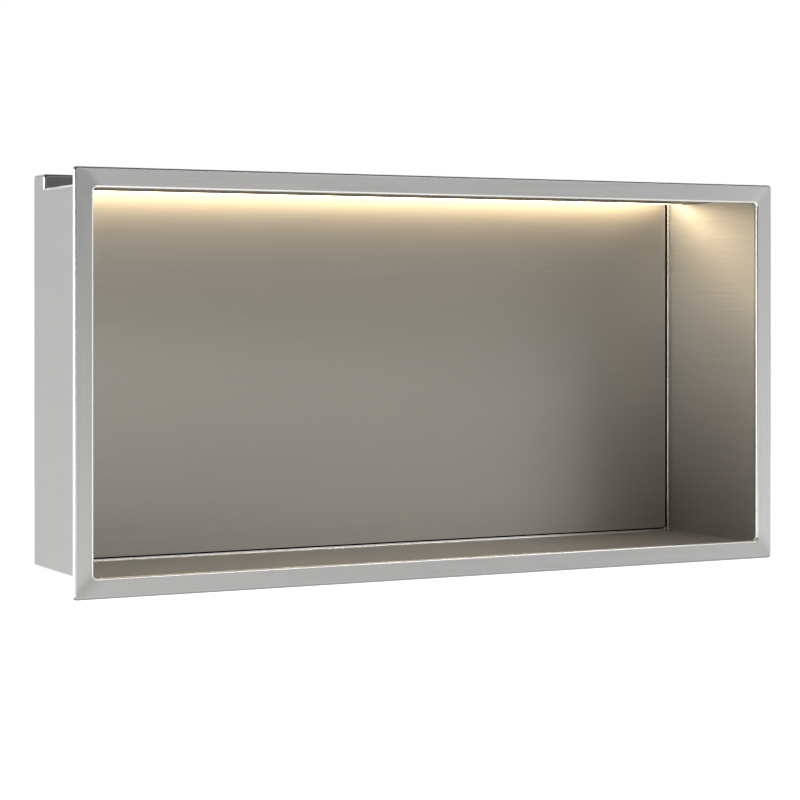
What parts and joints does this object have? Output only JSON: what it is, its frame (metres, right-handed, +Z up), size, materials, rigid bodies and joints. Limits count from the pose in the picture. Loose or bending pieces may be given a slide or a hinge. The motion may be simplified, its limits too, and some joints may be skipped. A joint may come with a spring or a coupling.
{
  "type": "shower niche insert",
  "caption": "Recessed wall shelf box in folded stainless sheet for a shower wall: open front with a flat flange, brushed back panel and a hidden warm light strip above it.",
  "frame": {"origin": "centre of the flange, in the plane of its turned-back edge that seats on the tile", "axes": "+X to the right seen from the room, +Y into the wall, +Z up"},
  "size_m": [0.6, 0.1312, 0.305],
  "materials": {
    "shell_steel": "satin brushed stainless sheet",
    "panel_steel": "stainless sheet brushed sideways",
    "sleeve_silicone": "milky translucent silicone, satin",
    "tape_board": "white solder mask",
    "led_chip": "yellow phosphor gel in a white chip",
    "resistor": "black glaze",
    "cap_silicone": "white silicone, matte",
    "grommet_rubber": "black rubber, matte"
  },
  "bodies": {
    "root": {"niche_shell": "shell_steel", "back_panel": "panel_steel", "silicone_sleeve": "sleeve_silicone", "led_tape": "tape_board", "led_chips": "led_chip", "tape_resistors": "resistor", "sleeve_end_cap_left": "cap_silicone", "sleeve_end_cap_right": "cap_silicone", "cable_grommet": "grommet_rubber"}
  },
  "joints": []
}
